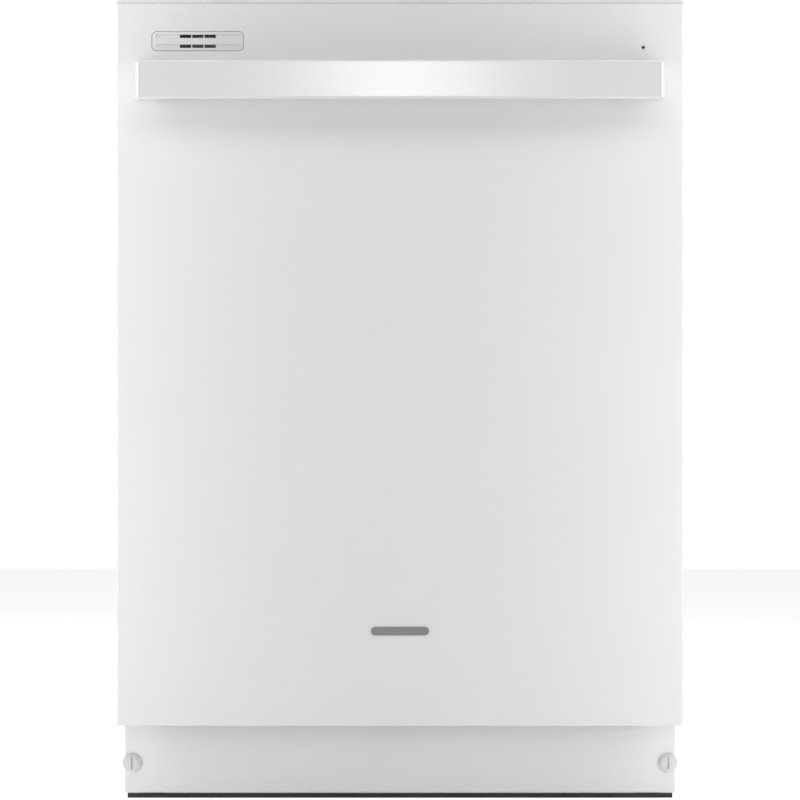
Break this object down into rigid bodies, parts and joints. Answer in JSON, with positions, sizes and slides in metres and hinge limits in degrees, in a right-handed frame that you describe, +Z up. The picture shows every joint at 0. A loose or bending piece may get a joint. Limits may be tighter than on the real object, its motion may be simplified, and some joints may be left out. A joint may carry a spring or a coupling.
{
  "type": "built in dishwasher",
  "caption": "Built-in dishwasher with a white drop-down door, towel-bar handle, vent, steel tub, pull-out racks, spray arms and a kick panel.",
  "frame": {"origin": "centre of the footprint on the floor, under the middle of the overall box", "axes": "+Z up, the door faces -Y, +X to the right of a person who faces the door"},
  "size_m": [0.606, 0.667, 0.86],
  "materials": {
    "white_enamel": "gloss",
    "white_plastic": "satin",
    "lip_plastic": "satin",
    "black_plastic": "matte",
    "stainless": "satin",
    "zinc_plate": "satin",
    "motor_alloy": "satin",
    "rack_nylon": "satin",
    "grey_plastic": "satin",
    "pale_plastic": "satin",
    "cap_plastic": "satin",
    "seal_rubber": "matte",
    "blanket_felt": "matte",
    "circuit_board": "satin",
    "lamp_lens": "gloss"
  },
  "bodies": {
    "root": {"toe_panel": "white_enamel", "inlet_valve": "white_plastic", "drain_pump": "black_plastic", "junction_box": "black_plastic", "tub": "stainless", "rack_rail_left": "stainless", "rack_rail_right": "stainless", "heater_element": "stainless", "filter_plate": "stainless", "door_spring_left": "stainless", "door_spring_right": "stainless", "latch_strike": "zinc_plate", "countertop_bracket_left": "zinc_plate", "countertop_bracket_right": "zinc_plate", "base_frame": "zinc_plate", "hinge_bracket_left": "zinc_plate", "hinge_bracket_right": "zinc_plate", "wash_motor": "motor_alloy", "sump": "grey_plastic", "water_feed_tube": "pale_plastic", "tub_gasket": "seal_rubber", "toe_seal_strip": "seal_rubber", "tub_blanket": "blanket_felt"},
    "door": {"door_outer_panel": "white_enamel", "door_inner_liner": "stainless", "control_console": "lip_plastic", "handle_bar": "white_enamel", "handle_post_left": "white_enamel", "handle_post_right": "white_enamel", "vent_grille": "white_plastic", "indicator_lens": "lamp_lens", "detergent_dispenser": "pale_plastic", "control_board": "circuit_board", "hinge_arm_left": "zinc_plate", "hinge_arm_right": "zinc_plate", "door_insulation": "blanket_felt"},
    "button_start": {"button_start": "white_plastic"},
    "button_cycle": {"button_cycle": "white_plastic"},
    "button_dry": {"button_dry": "white_plastic"},
    "detergent_lid": {"detergent_lid": "grey_plastic"},
    "rinse_aid_cap": {"rinse_aid_cap": "cap_plastic"},
    "latch_hook": {"latch_hook": "zinc_plate"},
    "lower_rack": {"lower_rack": "rack_nylon", "silverware_basket": "grey_plastic"},
    "lower_wheel_front_left": {"lower_rack_wheel_front_left": "pale_plastic"},
    "lower_wheel_front_right": {"lower_rack_wheel_front_right": "pale_plastic"},
    "lower_wheel_rear_left": {"lower_rack_wheel_rear_left": "pale_plastic"},
    "lower_wheel_rear_right": {"lower_rack_wheel_rear_right": "pale_plastic"},
    "upper_rack": {"upper_rack": "rack_nylon", "upper_feed_pipe": "pale_plastic"},
    "lower_spray_arm": {"lower_spray_arm": "pale_plastic"},
    "upper_spray_arm": {"upper_spray_arm": "pale_plastic"},
    "leveling_leg_left": {"leveling_leg_left": "zinc_plate"},
    "leveling_leg_right": {"leveling_leg_right": "zinc_plate"},
    "rear_wheel_left": {"rear_wheel_left": "black_plastic"},
    "rear_wheel_right": {"rear_wheel_right": "black_plastic"},
    "toe_fastener_left": {"toe_fastener_left": "white_plastic"},
    "toe_fastener_right": {"toe_fastener_right": "white_plastic"},
    "overfill_float": {"overfill_float": "pale_plastic"},
    "filter_cup": {"filter_cup": "grey_plastic"}
  },
  "joints": [
    {"name": "door_hinge", "type": "hinge", "parent": "root", "child": "door", "pos_m": [0, -0.2525, 0.125], "axis": [1, 0, 0], "range_deg": [0, 90], "stiffness_Nm_per_rad": 22},
    {"name": "lower_rack_slide", "type": "slide", "parent": "root", "child": "lower_rack", "axis": [0, -1, 0], "range_m": [0, 0.2]},
    {"name": "upper_rack_slide", "type": "slide", "parent": "root", "child": "upper_rack", "axis": [0, -1, 0], "range_m": [0, 0.48]},
    {"name": "lower_wheel_front_left_spin", "type": "hinge", "parent": "lower_rack", "child": "lower_wheel_front_left", "pos_m": [-0.2693, -0.1185, 0.1765], "axis": [1, 0, 0], "continuous": true},
    {"name": "lower_wheel_front_right_spin", "type": "hinge", "parent": "lower_rack", "child": "lower_wheel_front_right", "pos_m": [0.2693, -0.1185, 0.1765], "axis": [1, 0, 0], "continuous": true},
    {"name": "lower_wheel_rear_left_spin", "type": "hinge", "parent": "lower_rack", "child": "lower_wheel_rear_left", "pos_m": [-0.2693, 0.235, 0.1765], "axis": [1, 0, 0], "continuous": true},
    {"name": "lower_wheel_rear_right_spin", "type": "hinge", "parent": "lower_rack", "child": "lower_wheel_rear_right", "pos_m": [0.2693, 0.235, 0.1765], "axis": [1, 0, 0], "continuous": true},
    {"name": "lower_spray_arm_spin", "type": "hinge", "parent": "root", "child": "lower_spray_arm", "pos_m": [0, 0.03, 0.186], "axis": [0, 0, 1], "continuous": true},
    {"name": "upper_spray_arm_spin", "type": "hinge", "parent": "upper_rack", "child": "upper_spray_arm", "pos_m": [0, 0.03, 0.486], "axis": [0, 0, 1], "continuous": true},
    {"name": "button_start_press", "type": "slide", "parent": "door", "child": "button_start", "axis": [0, 0, -1], "range_m": [0, 0.0015], "stiffness_N_per_m": 300, "springref_m": -0.0008},
    {"name": "button_cycle_press", "type": "slide", "parent": "door", "child": "button_cycle", "axis": [0, 0, -1], "range_m": [0, 0.0015], "stiffness_N_per_m": 300, "springref_m": -0.0008},
    {"name": "button_dry_press", "type": "slide", "parent": "door", "child": "button_dry", "axis": [0, 0, -1], "range_m": [0, 0.0015], "stiffness_N_per_m": 300, "springref_m": -0.0008},
    {"name": "detergent_lid_slide", "type": "slide", "parent": "door", "child": "detergent_lid", "axis": [1, 0, 0], "range_m": [0, 0.078]},
    {"name": "rinse_cap_twist", "type": "hinge", "parent": "door", "child": "rinse_aid_cap", "pos_m": [0.065, -0.2242, 0.54], "axis": [0, 1, 0], "range_deg": [0, 90]},
    {"name": "latch_hook_turn", "type": "hinge", "parent": "door", "child": "latch_hook", "pos_m": [0, -0.238, 0.8505], "axis": [-1, 0, 0], "range_deg": [0, 9]},
    {"name": "float_lift", "type": "slide", "parent": "root", "child": "overfill_float", "axis": [0, 0, 1], "range_m": [0, 0.012]},
    {"name": "filter_cup_twist", "type": "hinge", "parent": "root", "child": "filter_cup", "pos_m": [0, -0.022, 0.153], "axis": [0, 0, 1], "range_deg": [0, 90]},
    {"name": "leg_left_screw", "type": "slide", "parent": "root", "child": "leveling_leg_left", "axis": [0, 0, -1], "range_m": [0, 0.016]},
    {"name": "rear_wheel_left_spin", "type": "hinge", "parent": "root", "child": "rear_wheel_left", "pos_m": [-0.262, 0.285, 0.018], "axis": [1, 0, 0], "continuous": true},
    {"name": "toe_fastener_left_turn", "type": "hinge", "parent": "root", "child": "toe_fastener_left", "pos_m": [-0.291, -0.2125, 0.039], "axis": [0, 1, 0], "range_deg": [0, 90]},
    {"name": "leg_right_screw", "type": "slide", "parent": "root", "child": "leveling_leg_right", "axis": [0, 0, -1], "range_m": [0, 0.016]},
    {"name": "rear_wheel_right_spin", "type": "hinge", "parent": "root", "child": "rear_wheel_right", "pos_m": [0.262, 0.285, 0.018], "axis": [1, 0, 0], "continuous": true},
    {"name": "toe_fastener_right_turn", "type": "hinge", "parent": "root", "child": "toe_fastener_right", "pos_m": [0.291, -0.2125, 0.039], "axis": [0, 1, 0], "range_deg": [0, 90]}
  ],
  "couplings": [
    {"joint": "lower_rack_slide", "follows": "door_hinge", "m_per_rad": 0.12},
    {"joint": "upper_rack_slide", "follows": "door_hinge", "m_per_rad": 0.3},
    {"joint": "lower_wheel_front_left_spin", "follows": "door_hinge", "ratio": 6.8571},
    {"joint": "lower_wheel_front_right_spin", "follows": "door_hinge", "ratio": 6.8571},
    {"joint": "lower_wheel_rear_left_spin", "follows": "door_hinge", "ratio": 6.8571},
    {"joint": "lower_wheel_rear_right_spin", "follows": "door_hinge", "ratio": 6.8571}
  ]
}
